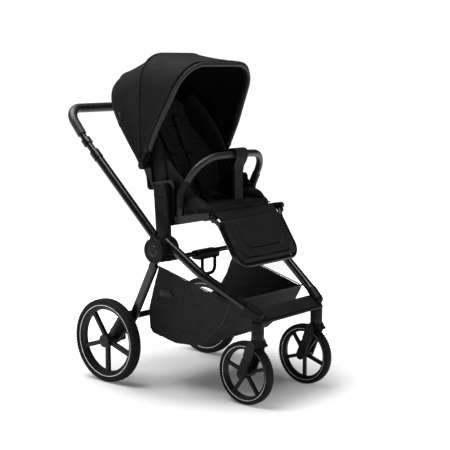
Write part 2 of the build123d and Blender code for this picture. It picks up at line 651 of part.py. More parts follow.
save_pair("push_tube", push_tube())
save_pair("push_knuckle", push_knuckle())
save("handle_bar", handle_bar())
save("handle_grip", handle_grip())
save_pair("handle_button", handle_button())

leg = rear_leg()
crossbar = rear_crossbar()
save_pair("rear_leg", leg)
save("rear_crossbar", crossbar)
save_pair("axle_bracket", axle_bracket(leg, crossbar))
save("rear_axles", both(rear_axle()))
save("brake_pedal", brake_pedal())

save_pair("rear_tyre", tyre(REAR_R, REAR_TYRE_W, 0.857 * REAR_R, REAR_Y, REAR_R, REAR_X))
save_pair("rear_rim", rim(0.857 * REAR_R - 0.2, 17, 26, 23, (246, 287), REAR_AXLE_R + RUN_GAP, (245, 283.5),
                          REAR_Y, REAR_R, REAR_X, -90))
save_pair("castor_fork", castor_fork())
save_pair("castor_arm", castor_arm())
save_pair("front_tyre", tyre(FRONT_R, FRONT_TYRE_W, 0.861 * FRONT_R, *FRONT_AXLE, CASTOR_X))
front_rim = [0.861 * FRONT_R - 0.2, 12, 22, 17, (CASTOR_X - 21, CASTOR_X + 21), FRONT_AXLE_R + RUN_GAP,
             (CASTOR_X - 22, CASTOR_X + 22), *FRONT_AXLE, CASTOR_X]
save("front_rim_left", rim(*front_rim, -90))
save("front_rim_right", mirror(rim(*front_rim, 90), about=Plane.YZ))

pad = seat_pad()
save("seat_adapters", both(seat_adapter()))
save("seat_frame", seat_frame())
save("seat_pad", pad)
clasp = buckle()
save("crotch_strap", crotch_strap(pad, clasp))
save("buckle", clasp)
save("buckle_button", buckle_button())
save("backrest_frame", backrest_frame())
save("backrest_pad", backrest_pad())
save("harness_straps", harness_straps())
save("recline_lever", recline_lever())

front_bow = bow(FRONT_ARCH, FRONT_BOW, 7.5, (209.7, 213.5), 8)
mid_bow = bow(MID_ARCH, MID_BOW, 4.0, (205.1, MID_ARCH[0]), 6)
save("canopy_front_bow", front_bow)
save("canopy_front_panel", hood_panel(FRONT_ARCH_BACK, MID_BOW + 1.5, FRONT_ARCH, FRONT_BOW) - front_bow)
save("canopy_mid_bow", mid_bow)
save("canopy_mid_panel", hood_panel(MID_ARCH_BACK, REAR_BOW + 5, MID_ARCH, MID_BOW) - mid_bow)
save("canopy_rear_panel", rear_hood())

bumper = bumper_bar()
save("bumper_bar", bumper)
save("bumper_strap", bumper_strap(bumper))
save("legrest_frame", legrest_frame())
save("legrest_pad", legrest_pad())
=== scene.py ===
"""Looks of the folding baby stroller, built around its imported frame. Metres, +Z up, front towards -Y."""

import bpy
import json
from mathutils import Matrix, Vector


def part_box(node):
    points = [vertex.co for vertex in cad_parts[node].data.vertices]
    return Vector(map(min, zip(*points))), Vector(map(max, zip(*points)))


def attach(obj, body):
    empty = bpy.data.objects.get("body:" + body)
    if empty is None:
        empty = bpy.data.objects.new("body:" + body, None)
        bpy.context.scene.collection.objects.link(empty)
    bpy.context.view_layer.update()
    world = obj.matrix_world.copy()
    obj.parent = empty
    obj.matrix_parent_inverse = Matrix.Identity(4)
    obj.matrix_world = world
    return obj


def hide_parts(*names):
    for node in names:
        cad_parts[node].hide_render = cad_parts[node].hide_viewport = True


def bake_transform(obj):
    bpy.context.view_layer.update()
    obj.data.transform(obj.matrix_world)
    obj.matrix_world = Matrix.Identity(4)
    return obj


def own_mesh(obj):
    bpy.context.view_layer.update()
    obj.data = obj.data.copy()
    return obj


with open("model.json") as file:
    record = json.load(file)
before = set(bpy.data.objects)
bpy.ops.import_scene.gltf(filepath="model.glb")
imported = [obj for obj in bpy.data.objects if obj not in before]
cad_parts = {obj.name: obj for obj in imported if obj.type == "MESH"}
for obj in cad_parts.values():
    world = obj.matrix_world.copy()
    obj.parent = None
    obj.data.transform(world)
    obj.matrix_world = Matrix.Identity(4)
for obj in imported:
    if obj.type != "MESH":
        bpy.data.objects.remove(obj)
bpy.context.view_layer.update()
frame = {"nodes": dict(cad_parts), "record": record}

import json
from math import cos, exp, pi, radians, sin, tan

import bmesh
import bpy
from mathutils import Vector
from mathutils.bvhtree import BVHTree
from mathutils.kdtree import KDTree
from mathutils.noise import noise

NODES = frame["nodes"]
SIDES = (("left", 1), ("right", -1))

# -------------------- dimensions, as in the frame's design
HUB_FACE_X, HUB_Y, HUB_Z = 0.285, -0.021, 0.5
SEAT_CAP = (0.007, 0.692)                # y, z of the seat adapter's round cap
LEGREST_Y, LEGREST_Z, LEGREST_ANGLE, LEGREST_LEN = -0.195, 0.6245, 57.7, 0.206
BACK_ANGLE, BACK_Y, BACK_Z = 62.0, 0.05, 0.672
CANOPY_Y, CANOPY_Z = 0.092, 0.778
FRONT_BOW, MID_BOW, REAR_BOW = 116.0, 85.0, 58.0
FRONT_SEAM, MID_SEAM, REAR_TUCK = MID_BOW - 1.2, MID_BOW + 0.8, REAR_BOW + 3    # where the hood's panels end
BUMPER_R, BUMPER_MID = 0.0125, (-0.16, 0.819)
BUMPER_X, BUMPER_Y = 0.191, -0.062
# Radius, x, y, tyre width, inner edge of the tyre as a share of the radius, tread blocks.
REAR_WHEEL = (0.15, 0.266, 0.223, 0.044, 0.857, 84)
FRONT_WHEEL = (0.108, 0.165, -0.33, 0.036, 0.861, 64)

# Arches that the hood's cloth follows, just off the bows: half width at the pivot, height above it and
# corner radius.
FRONT_ARCH = (0.2225, 0.396, 0.104)
SEAM_ARCH_FRONT = (0.2205, 0.389, 0.132)
SEAM_ARCH_MID = (0.2185, 0.3865, 0.13)
REAR_ARCH_MID = (0.2105, 0.3645, 0.104)
REAR_ARCH = (0.2075, 0.3595, 0.1)
HOOD_FOOT, HOOD_KNEE, HOOD_LEAN = 0.018, 0.15, 0.033      # foot and knee above the pivot, lean above the knee

AXIS_RADIUS = 0.0001                     # a turned shape starts this far from its axis
FINE_STITCH = (0.0042, 0.0028, 0.00035)  # pitch, length and radius
HEAVY_STITCH = (0.005, 0.0034, 0.0004)


def direction(angle):
    """Unit vector in the YZ plane, at an angle above +Y."""
    return cos(radians(angle)), sin(radians(angle))


def back_point(x, u, depth=0.0):
    """Point on the backrest: u up its front face, depth behind that face."""
    dy, dz = direction(BACK_ANGLE)
    return Vector((x, BACK_Y + u * dy + depth * dz, BACK_Z + u * dz - depth * dy))


def legrest_point(x, s, lift=0.0):
    """Point on the leg rest: s down from its hinge, lift out of its upper face."""
    dy, dz = direction(180 + LEGREST_ANGLE)
    return Vector((x, LEGREST_Y + s * dy + lift * dz, LEGREST_Z + s * dz - lift * dy))


def hood_point(x, angle, r):
    """Point at a distance r from the hood's pivot line, at an angle above +Y."""
    dy, dz = direction(angle)
    return Vector((x, CANOPY_Y + r * dy, CANOPY_Z + r * dz))


def clamped(t):
    """The number, kept from 0 to 1."""
    return min(1.0, max(0.0, t))


# -------------------- curves
def rounded(points, radii, steps=8):
    """Polyline through straight runs joined by arcs: one radius for each inner corner."""
    points = [Vector(p) for p in points]
    line = [points[0]]
    for before, corner, after, radius in zip(points, points[1:], points[2:], radii):
        a, b = (before - corner).normalized(), (after - corner).normalized()
        half = a.angle(b) / 2
        reach = radius / tan(half)
        middle = corner + (a + b).normalized() * (radius / sin(half))
        start, end = corner + a * reach - middle, corner + b * reach - middle
        turn = start.angle(end)
        for i in range(steps + 1):
            t = i / steps
            spoke = (start * sin((1 - t) * turn) + end * sin(t * turn)) / sin(turn)
            line.append(middle + spoke)
    line.append(points[-1])
    return line


def spread(line, count):
    """The same line as count points, evenly spaced along it."""
    far = [0.0]
    for a, b in zip(line, line[1:]):
        far.append(far[-1] + (b - a).length)
    made, k = [], 0
    for i in range(count):
        goal = far[-1] * i / (count - 1)
        while k < len(line) - 2 and far[k + 1] < goal:
            k += 1
        step = far[k + 1] - far[k]
        made.append(line[k].lerp(line[k + 1], (goal - far[k]) / step if step > 0 else 0))
    return made


def crosswise(half, y, z, steps):
    """Points from side to side at one y and z, with this many steps on each side of the middle."""
    return [Vector((i / steps * half, y, z)) for i in range(-steps, steps + 1)]


def mirrored(points):
    """A left-hand run continued to the right-hand side."""
    points = [Vector(p) for p in points]
    return points + [Vector((-p.x, p.y, p.z)) for p in reversed(points)]


def arch(shape, angle, count, low=HOOD_FOOT, grow=0.0):
    """Arch of the hood in the plane at this angle, from the left pivot to the right."""
    half, top, corner = shape[0] + grow, shape[1] + grow, shape[2]
    knee_radius = 0.3
    run = [(half, low, 0), (half - 0.001, HOOD_KNEE, 0), (half - HOOD_LEAN, top, 0)]
    run += [(-x, r, 0) for x, r, _ in reversed(run)]
    flat = spread(rounded(run, [knee_radius, corner, corner, knee_radius], 14), count)
    return [hood_point(p.x, angle, p.y) for p in flat]


# -------------------- mesh pieces
def piece(name, verts, faces, paint, body, smooth=True):
    """A new object from points and faces."""
    mesh = bpy.data.meshes.new(name)
    mesh.from_pydata([tuple(v) for v in verts], [], faces)
    made = bpy.data.objects.new(name, mesh)
    bpy.context.scene.collection.objects.link(made)
    for layer in paint if isinstance(paint, tuple) else (paint,):
        mesh.materials.append(PAINT[layer])
    bm = bmesh.new()
    bm.from_mesh(mesh)
    bmesh.ops.remove_doubles(bm, verts=bm.verts, dist=1e-6)
    bmesh.ops.recalc_face_normals(bm, faces=bm.faces)
    bm.to_mesh(mesh)
    bm.free()
    if smooth:
        mesh.shade_smooth()
    if body:
        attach(made, body)
    return made


def settle(made):
    """Applies every modifier, so the mesh is final."""
    graph = bpy.context.evaluated_depsgraph_get()
    mesh = bpy.data.meshes.new_from_object(made.evaluated_get(graph))
    made.modifiers.clear()
    made.data = mesh
    return made


def subdivide(made):
    """Rounds a piece with one level of subdivision, applied with its other modifiers."""
    made.modifiers.new("smooth", "SUBSURF").levels = 1
    return settle(made)


def loft_faces(rows, columns, close_rows=False, close_columns=False):
    """Four-sided faces between the points of a grid, stored row by row."""
    faces = []
    for i in range(rows if close_rows else rows - 1):
        for j in range(columns if close_columns else columns - 1):
            a, b = (i + 1) % rows, (j + 1) % columns
            faces.append((i * columns + j, i * columns + b, a * columns + b, a * columns + j))
    return faces


def cloth_sheet(name, rows, paint, body, thick=0.0016, offset=-1, subdivided=True):
    """A sheet of cloth through rows of points, given a thickness and a lining on its inner side."""
    verts = [p for row in rows for p in row]
    made = piece(name, verts, loft_faces(len(rows), len(rows[0])), (paint, "lining"), body)
    shell = made.modifiers.new("thickness", "SOLIDIFY")
    shell.thickness, shell.offset = thick, offset
    shell.material_offset, shell.material_offset_rim = 1, 0
    shell.use_even_offset = True
    return subdivide(made) if subdivided else settle(made)


def sweep(name, line, section, paint, body, slot, up=(0, 0, 1)):
    """Sweeps section(t), a list of (across, out) offsets, along a line. t runs from 0 to 1."""
    line = [Vector(p) for p in line]
    last = len(line) - 1
    verts, normal = [], Vector(up)
    for i, point in enumerate(line):
        along = (line[min(i + 1, last)] - line[max(i - 1, 0)]).normalized()
        normal = (normal - along * normal.dot(along)).normalized()
        across = along.cross(normal)
        outline = section(i / last)
        verts += [point + across * a + normal * b for a, b in outline]
    sides = len(outline)
    faces = loft_faces(len(line), sides, False, True)
    faces += [tuple(range(sides - 1, -1, -1)), tuple(range(last * sides, len(line) * sides))]
    return piece(name, verts, faces, paint, body)


def oval(a, b, sides=12, power=1.0):
    """Section for sweep: an ellipse, or a rounded box as power drops below 1."""
    points = []
    for i in range(sides):
        c, s = cos(2 * pi * i / sides), sin(2 * pi * i / sides)
        across, out = a * abs(c) ** power, b * abs(s) ** power
        points.append((across if c > 0 else -across, out if s > 0 else -out))
    return points


def tube(name, line, radius, paint, body, slot, sides=10, **more):
    """A round bar along a line."""
    return sweep(name, line, lambda t: oval(radius, radius, sides), paint, body, slot, **more)


def stitches(name, line, body, stitch=FINE_STITCH):
    """A row of short raised stitches along a line, each a spindle with square sections."""
    pitch, length, radius = stitch
    total = sum((b - a).length for a, b in zip(line, line[1:]))
    spots = spread(line, max(3, int(total / pitch)))
    verts, faces = [], []
    for spot, after in zip(spots, spots[1:]):
        along = (after - spot).normalized()
        side = along.orthogonal().normalized()
        other = along.cross(side)
        base = len(verts)
        for reach, size in ((-0.5, 0.35), (-0.25, 1), (0.25, 1), (0.5, 0.35)):
            for k in range(4):
                spoke = side * cos(k * pi / 2) + other * sin(k * pi / 2)
                verts.append(spot + along * (reach * length) + spoke * (radius * size))
        faces += [tuple(base + k for k in face) for face in loft_faces(4, 4, False, True)]
        faces += [(base + 3, base + 2, base + 1, base), (base + 12, base + 13, base + 14, base + 15)]
    return piece(name, verts, faces, "thread", body)


def lathe(name, profile, x, y, z, paint, body, slot, count, bump=None):
    """Closed (x, radius) outline turned about the X axis through (y, z)."""
    verts = []
    for i in range(count):
        angle = 2 * pi * i / count
        for k, (px, r) in enumerate(profile):
            r += bump(i, k) if bump else 0
            verts.append((x + px, y + r * cos(angle), z + r * sin(angle)))
    return piece(name, verts, loft_faces(count, len(profile), True, True), paint, body)


# -------------------- padded pieces
PUFF_PRESSURE, PUFF_FRAMES = 4.0, 20


def puff(made, voxel, cap):
    """Blows a closed piece up like a sewn cushion, no point moving further than cap."""
    remesh = made.modifiers.new("even", "REMESH")
    remesh.mode, remesh.voxel_size = "VOXEL", voxel
    settle(made)
    relax = made.modifiers.new("relax", "SMOOTH")
    relax.factor, relax.iterations = 0.5, 6
    settle(made)
    simulate_filling(made, cap)
    made.modifiers.new("relax", "SMOOTH").iterations = 3
    subdivide(made)
    made.data.shade_smooth()


def simulate_filling(made, cap):
    """Runs Cloth with pressure and without gravity, then holds every point within cap of its start."""
    starts = [v.co.copy() for v in made.data.vertices]
    cloth = made.modifiers.new("cloth", "CLOTH")
    cloth.settings.use_pressure = True
    cloth.settings.uniform_pressure_force = PUFF_PRESSURE
    cloth.settings.effector_weights.gravity = 0
    cloth.settings.quality = 4
    cloth.point_cache.frame_start, cloth.point_cache.frame_end = 1, PUFF_FRAMES
    for number in range(1, PUFF_FRAMES + 1):
        bpy.context.scene.frame_set(number)
    settle(made)
    bpy.context.scene.frame_set(1)
    for vertex, start in zip(made.data.vertices, starts):
        moved = vertex.co - start
        if moved.length > cap:
            vertex.co = start + moved.normalized() * cap


# -------------------- camera, floor and light
CAMERA_PLACE, CAMERA_AIM = (-2.9961, -2.6232, 1.1263), (0, -0.0987, 0.5648)
LENS_MM, SENSOR_MM = 90.2, 36
WHITE = (1, 1, 1, 1)
FILL_STRENGTH, BACKGROUND_STRENGTH = 0.1, 1.05
FLOOR_REACH = 14.0
# Grey of the floor: in the middle, where the glow is low, it shows as a painted shadow pool under the
# stroller.
FLOOR_SHADE = (0.56, 0.56, 0.56)


def place_at(name, data, place, aim):
    """A camera or light at a place, turned towards a point."""
    made = bpy.data.objects.new(name, data)
    bpy.context.scene.collection.objects.link(made)
    made.location = place
    made.rotation_euler = (Vector(aim) - made.location).to_track_quat("-Z", "Y").to_euler()
    return made


def camera():
    data = bpy.data.cameras.new("camera")
    data.lens, data.sensor_width, data.clip_end = LENS_MM, SENSOR_MM, 60
    bpy.context.scene.camera = place_at("camera", data, CAMERA_PLACE, CAMERA_AIM)


def softbox(name, place, aim, size, watts):
    data = bpy.data.lights.new(name, "AREA")
    data.shape, data.size, data.size_y, data.energy = "RECTANGLE", size[0], size[1], watts
    place_at(name, data, place, aim)


def studio_light():
    """White surroundings for the camera, a dim fill from all round, and three softboxes."""
    world = bpy.data.worlds.new("studio")
    bpy.context.scene.world = world
    world.use_nodes = True
    tree = world.node_tree
    fill = tree.nodes["Background"]
    seen = tree.nodes.new("ShaderNodeBackground")
    for background, strength in ((fill, FILL_STRENGTH), (seen, BACKGROUND_STRENGTH)):
        background.inputs["Color"].default_value = WHITE
        background.inputs["Strength"].default_value = strength
    rays, mix = tree.nodes.new("ShaderNodeLightPath"), tree.nodes.new("ShaderNodeMixShader")
    tree.links.new(rays.outputs["Is Camera Ray"], mix.inputs[0])
    tree.links.new(fill.outputs[0], mix.inputs[1])
    tree.links.new(seen.outputs[0], mix.inputs[2])
    tree.links.new(mix.outputs[0], tree.nodes["World Output"].inputs["Surface"])
    softbox("top", (-0.5, 0.7, 3.2), (0, 0, 0.3), (2.6, 2.6), 180)
    softbox("left", (-2.4, 2.4, 1.9), (0, 0, 0.6), (1.0, 2.2), 15)
    softbox("front", (0.4, -3.6, 2.0), (0, 0, 0.5), (2.0, 1.4), 24)
    bpy.context.scene.view_settings.view_transform = "Standard"


def floor():
    """Grey floor with a glow that rises with distance from the middle, so that it fades to white. The dim
    middle is a painted shadow pool under the stroller.
    """
    far = FLOOR_REACH
    mesh = bpy.data.meshes.new("floor")
    mesh.from_pydata([(-far, -far, 0), (far, -far, 0), (far, far, 0), (-far, far, 0)], [], [(0, 1, 2, 3)])
    ground = bpy.data.objects.new("floor", mesh)
    bpy.context.scene.collection.objects.link(ground)
    paint = Surface("floor", FLOOR_SHADE, 0.9)
    paint.shader.inputs["Specular IOR Level"].default_value = 0.0
    reach = paint.node("VectorMath", operation="LENGTH")
    link(paint.tree, paint.place, "Object", reach, "Vector")
    # Glow low in the middle and high far out: a painted shadow pool under the stroller, fading to a white
    # floor.
    glow_around_painted_shadow = paint.node("MapRange", clamp=True)
    for socket, value in (("From Min", 0.28), ("From Max", 0.85), ("To Min", 0.06), ("To Max", 1.0)):
        glow_around_painted_shadow.inputs[socket].default_value = value
    link(paint.tree, reach, "Value", glow_around_painted_shadow, "Value")
    paint.shader.inputs["Emission Color"].default_value = WHITE
    link(paint.tree, glow_around_painted_shadow, "Result", paint.shader, "Emission Strength")
    mesh.materials.append(paint.paint)


# -------------------- materials
def link(tree, a, out, b, into):
    """Joins one node's output to another node's input, both by name."""
    tree.links.new(a.outputs[out], b.inputs[into])


class Surface:
    """Builds a material's node tree: object-space textures that vary its colour, roughness and bump."""

    def __init__(self, name, colour, roughness, **sockets):
        self.paint = bpy.data.materials.new(name)
        self.paint.use_nodes = True
        self.tree = self.paint.node_tree
        self.shader = self.tree.nodes["Principled BSDF"]
        self.shader.inputs["Base Color"].default_value = (*colour, 1)
        self.shader.inputs["Roughness"].default_value = roughness
        for socket, value in sockets.items():
            self.shader.inputs[socket.replace("_", " ")].default_value = value
        self.colour, self.roughness, self.height = colour, roughness, None
        self.place = self.tree.nodes.new("ShaderNodeTexCoord")

    def node(self, kind, **values):
        made = self.tree.nodes.new("ShaderNode" + kind)
        for key, value in values.items():
            socket = made.inputs.get(key.replace("_", " "))
            if socket is not None:
                socket.default_value = value
            else:
                setattr(made, key, value)
        return made

    def texture(self, kind, output, **values):
        """A texture in object space, so that its features have a size in metres."""
        made = self.node(kind, **values)
        link(self.tree, self.place, "Object", made, "Vector")
        return made, output

    def noise(self, size, detail=3.0):
        """Noise whose features are about size metres across."""
        return self.texture("TexNoise", "Fac", Scale=1 / size, Detail=detail)

    def cells(self, size):
        return self.texture("TexVoronoi", "Distance", Scale=1 / size)

    def wave(self, pitch, direction):
        return self.texture("TexWave", "Fac", Scale=0.5 / pitch, bands_direction=direction)

    def math(self, operation, a, b):
        made = self.node("Math", operation=operation)
        for socket, value in zip(made.inputs, (a, b)):
            if isinstance(value, tuple):
                self.tree.links.new(value[0].outputs[value[1]], socket)
            else:
                socket.default_value = value
        return made, "Value"

    def add_height(self, source, amount):
        scaled = self.math("MULTIPLY", source, amount)
        self.height = scaled if self.height is None else self.math("ADD", self.height, scaled)

    def bump(self):
        """Turns the heights added so far, in metres, into the surface's bump."""
        made = self.node("Bump", Strength=1.0, Distance=1.0)
        self.tree.links.new(self.height[0].outputs[self.height[1]], made.inputs["Height"])
        link(self.tree, made, "Normal", self.shader, "Normal")

    def spread(self, source, low, high):
        """Stretches a texture's middle values over low to high."""
        ramp = self.node("MapRange")
        for socket, value in (("From Min", 0.3), ("From Max", 0.7), ("To Min", low), ("To Max", high)):
            ramp.inputs[socket].default_value = value
        self.tree.links.new(source[0].outputs[source[1]], ramp.inputs["Value"])
        return ramp

    def vary_colour(self, source, low, high):
        ramp = self.spread(source, low, high)
        scale = self.node("VectorMath", operation="SCALE")
        scale.inputs[0].default_value = self.colour
        link(self.tree, ramp, "Result", scale, "Scale")
        link(self.tree, scale, "Vector", self.shader, "Base Color")

    def vary_roughness(self, source, amount):
        ramp = self.spread(source, self.roughness - amount, self.roughness + amount)
        link(self.tree, ramp, "Result", self.shader, "Roughness")


def woven(name, colour, thread, wrinkle, roughness=0.8, sheen=0.01, specular=0.1):
    """Woven cloth. thread is the weave's pitch, and wrinkle the height of its slow folds."""
    made = Surface(name, colour, roughness, Sheen_Weight=sheen, Sheen_Roughness=0.4,
                   Specular_IOR_Level=specular)
    weave = made.math("MULTIPLY", made.wave(thread, "DIAGONAL"), made.wave(thread, "Z"))
    made.add_height(weave, 0.00012)
    made.add_height(made.noise(0.06, 2), wrinkle)
    made.add_height(made.noise(0.004, 4), 0.00008)
    made.bump()
    made.vary_colour(made.noise(0.03, 5), 0.8, 1.25)
    made.vary_roughness(made.noise(0.012), 0.06)
    return made.paint


def gloss(name, colour, roughness, coat=0.5, metallic=0.0, specular=0.5):
    """Lacquered or anodised metal: a hard clear surface with faint brushing under it."""
    made = Surface(name, colour, roughness, Coat_Weight=coat, Coat_Roughness=0.1, Metallic=metallic,
                   Specular_IOR_Level=specular)
    made.add_height(made.noise(0.002, 4), 0.000002)
    made.bump()
    made.vary_colour(made.noise(0.05, 4), 0.85, 1.2)
    made.vary_roughness(made.noise(0.02, 5), 0.04)
    return made.paint


def moulded(name, colour, roughness, grain=0.00004, specular=0.2):
    """Moulded plastic: fine spark-eroded grain and slight handling marks."""
    made = Surface(name, colour, roughness, Specular_IOR_Level=specular)
    made.add_height(made.noise(0.0011, 3), grain)
    made.bump()
    made.vary_colour(made.noise(0.04, 4), 0.85, 1.2)
    made.vary_roughness(made.noise(0.015, 5), 0.05)
    return made.paint


def grained(name, colour, roughness):
    """Leatherette: small pebbled cells with creases between them."""
    made = Surface(name, colour, roughness, Coat_Weight=0.1, Coat_Roughness=0.3, Specular_IOR_Level=0.35)
    made.add_height(made.cells(0.0016), 0.0002)
    made.add_height(made.noise(0.012, 3), 0.0003)
    made.bump()
    made.vary_colour(made.noise(0.02, 4), 0.8, 1.25)
    made.vary_roughness(made.noise(0.01), 0.06)
    return made.paint


PAINT = {}


def mix_paints():
    PAINT.update(
        canopy=woven("canopy_cloth", (0.0042, 0.0042, 0.0046), 0.0009, 0.0003),
        binding=woven("binding_cloth", (0.0045, 0.0045, 0.005), 0.0008, 0.0001, 0.5, 0.01, 0.35),
        lining=woven("lining_cloth", (0.0026, 0.0026, 0.0029), 0.0009, 0.0006, 0.85, 0.0, 0.08),
        seat=woven("seat_cloth", (0.0046, 0.0046, 0.005), 0.0013, 0.00015, 0.68, 0.01, 0.2),
        basket=woven("basket_cloth", (0.0048, 0.0048, 0.0052), 0.0007, 0.0008, 0.7, 0.02, 0.22),
        webbing=woven("webbing_cloth", (0.0035, 0.0035, 0.0037), 0.0016, 0.0002, 0.65, 0.02, 0.25),
        thread=woven("thread", (0.012, 0.012, 0.0125), 0.0005, 0.0001, 0.6, 0.02, 0.3),
        pale_thread=woven("pale_thread", (0.09, 0.09, 0.092), 0.0005, 0.0001, 0.6, 0.02, 0.3),
        tube=gloss("tube_lacquer", (0.002, 0.002, 0.0022), 0.22, 0.12, specular=0.25),
        fork=moulded("fork_plastic", (0.003, 0.003, 0.0033), 0.42, 0.00002, 0.16),
        plastic=moulded("matte_plastic", (0.003, 0.003, 0.0033), 0.5, specular=0.13),
        rim=moulded("rim_plastic", (0.004, 0.004, 0.0044), 0.4, specular=0.16),
        rubber=moulded("rubber", (0.006, 0.006, 0.006), 0.62, 0.0001),
        tyre=moulded("tyre_rubber", (0.004, 0.004, 0.004), 0.68, 0.0001, 0.15),
        leather=grained("leatherette", (0.005, 0.005, 0.005), 0.42),
        steel=gloss("steel_pin", (0.5, 0.5, 0.51), 0.3, 0.0, 1.0),
        badge=gloss("badge_metal", (0.09, 0.09, 0.095), 0.28, 0.0, 1.0),
        reflector=moulded("reflector", (0.75, 0.75, 0.76), 0.4, 0.0001),
    )


SLOT_PAINT = {
    "gloss_frame": "tube", "matte_plastic": "plastic", "gloss_plastic": "fork", "grip_rubber": "rubber",
    "leatherette": "leather", "steel": "steel", "rim_plastic": "rim", "tyre": "tyre",
    "canopy_fabric": "canopy", "seat_fabric": "seat", "basket_fabric": "basket", "webbing": "webbing",
}


def paint_nodes():
    """Gives every node of the frame its slot's paint. The two bows are sleeved in the lining."""
    for part in frame["record"]["subparts"]:
        node = NODES[part["node"]]
        node.data.materials.clear()
        sleeved = part["node"] in ("canopy_front_bow", "canopy_mid_bow")
        node.data.materials.append(PAINT["lining" if sleeved else SLOT_PAINT[part["material_slot"]]])


# -------------------- soft copies of the frame's blocks
def soft_copy(name, node, paint, body):
    """A fresh object with a block's shape, to be made soft and shown in its place."""
    source = NODES[node]
    verts = [source.matrix_world @ v.co for v in source.data.vertices]
    faces = [tuple(face.vertices) for face in source.data.polygons]
    made = piece(name, verts, faces, paint, body, smooth=False)
    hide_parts(node)
    return made


def channels(made, out, lines, depth, width):
    """Presses sewn channels into the side of a padded piece that faces out, along lines of points."""
    out = Vector(out).normalized()
    dots = [p - out * p.dot(out) for line in lines for p in line]
    tree = KDTree(len(dots))
    for i, dot in enumerate(dots):
        tree.insert(dot, i)
    tree.balance()
    normals = [v.normal.copy() for v in made.data.vertices]
    for vertex, normal in zip(made.data.vertices, normals):
        if normal.dot(out) > 0.25:
            gap = tree.find(vertex.co - out * vertex.co.dot(out))[2]
            if gap < 4 * width:
                vertex.co -= out * (depth * exp(-((gap / width) ** 2)))
    made.data.update()


def line_on(made, points, out, reach=0.05, lift=0.0004):
    """The points moved along out onto the surface of a piece."""
    graph = bpy.context.evaluated_depsgraph_get()
    tree = BVHTree.FromObject(made, graph)
    out = Vector(out).normalized()
    found = []
    for p in points:
        hit = tree.ray_cast(p + out * reach, -out, 2 * reach)[0]
        if hit is not None:
            found.append(hit + out * lift)
    return found


# -------------------- hood
HOOD_CENTRE = Vector((0, CANOPY_Y, CANOPY_Z))
HOOD_ROWS, ROW_POINTS = 9, 97      # rows in a panel between two arches, and points across the hood in each
# The curtain's rows, from the rear bow down: angle of each, and its reach as a share of the rear arch.
CURTAIN = ((64, 1.0), (60, 1.004), (57, 1.008), (54, 1.006), (51, 0.985), (48.5, 0.93), (46, 0.84),
           (43, 0.71), (38, 0.5), (30, 0.32), (16, 0.22), (4, 0.18))
CURTAIN_NARROWING = 0.02
RIM_INSET, RIM_BINDING = 0.0105, (0.0083, 0.0125)      # binding's depth under the cloth, and half its section


def hood_rows(shape_a, angle_a, shape_b, angle_b, sag, low=HOOD_FOOT):
    """Rows of points between two arches, drawn in a little halfway like taut cloth."""
    first, last = arch(shape_a, angle_a, ROW_POINTS, low), arch(shape_b, angle_b, ROW_POINTS, low)
    made = []
    for i in range(HOOD_ROWS):
        t = i / (HOOD_ROWS - 1)
        row = []
        for k, (a, b) in enumerate(zip(first, last)):
            p = a.lerp(b, t)
            pull = sag * sin(pi * t) * sin(pi * k / (ROW_POINTS - 1)) ** 0.5
            row.append(p + (HOOD_CENTRE - p).normalized() * pull)
        made.append(row)
    return made


def seam_line(rows, t, lift=0.0008):
    """Line across the hood at a share t of the way through the rows, just proud of them."""
    i = t * (len(rows) - 1)
    k = min(int(i), len(rows) - 2)
    line = []
    for a, b in zip(rows[k], rows[k + 1]):
        p = a.lerp(b, i - k)
        line.append(p + (p - HOOD_CENTRE).normalized() * lift)
    return line


def curtain_rows():
    """Back of the hood: down from the rear bow, narrowing towards the pivots."""
    level = arch(REAR_ARCH, 0, ROW_POINTS)
    rows = []
    for angle, share in CURTAIN:
        inward = 1 - CURTAIN_NARROWING * (1 - share)
        rows.append([hood_point(p.x * inward, angle, (p.y - CANOPY_Y) * share) for p in level])
    return rows


def front_panel():
    """Front of the hood, from the seam on the mid bow to the rim, which a folded band covers."""
    rows = hood_rows(SEAM_ARCH_FRONT, FRONT_SEAM, FRONT_ARCH, FRONT_BOW, sag=0.004)
    cloth = cloth_sheet("canopy_front_cloth", rows, "canopy", "canopy_front")
    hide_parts("canopy_front_panel")
    for k, t in enumerate((0.03, 0.085)):
        stitches(f"canopy_seam_stitch_{k}", seam_line(rows, t), "canopy_front")
    welt = seam_line(rows, 0.055, 0.0006)
    tube("canopy_seam_welt", welt, 0.0014, "lining", "canopy_front", "canopy_fabric", sides=8)
    stitches("canopy_rim_stitch", seam_line(rows, 0.9), "canopy_front")
    rim = arch(FRONT_ARCH, FRONT_BOW, 120, low=0.06, grow=-RIM_INSET)
    up = Vector((0, *direction(FRONT_BOW + 90)))
    binding = sweep("canopy_rim_binding", rim, lambda t: oval(*RIM_BINDING, sides=14, power=0.9), "binding",
                    "canopy_front", "canopy_fabric", up=up)


def mid_panel():
    """Middle of the hood, from just over the rear bow to the seam on the mid bow."""
    rows = hood_rows(REAR_ARCH_MID, REAR_TUCK, SEAM_ARCH_MID, MID_SEAM, sag=0.003, low=0.04)
    cloth = cloth_sheet("canopy_mid_cloth", rows, "canopy", "canopy_mid")
    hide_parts("canopy_mid_panel")
    for k, t in enumerate((0.06, 0.12)):
        stitches(f"canopy_back_stitch_{k}", seam_line(rows, t), "canopy_mid")
    hem = seam_line(rows, 0.0, 0.0)
    band = tube("canopy_mid_hem", hem, 0.0016, "canopy", "canopy_mid", "canopy_fabric", sides=8)


def rear_panel():
    """Back of the hood with its curtain, hemmed at the bottom."""
    rows = curtain_rows()
    cloth = cloth_sheet("canopy_rear_cloth", rows, "canopy", "backrest")
    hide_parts("canopy_rear_panel")
    hem = tube("canopy_rear_hem", rows[-1], 0.0017, "canopy", "backrest", "canopy_fabric", sides=8)


def round_cap(name, outline, place, sign, paint, body, slot, count):
    """A small round cap on a side face. Its outline is (height, radius), from the rim in to the middle."""
    profile = [(0, AXIS_RADIUS)] + [(height * sign, radius) for height, radius in outline]
    profile.append((profile[-1][0], AXIS_RADIUS))
    lathe(name, profile, *place, paint, body, slot, count)


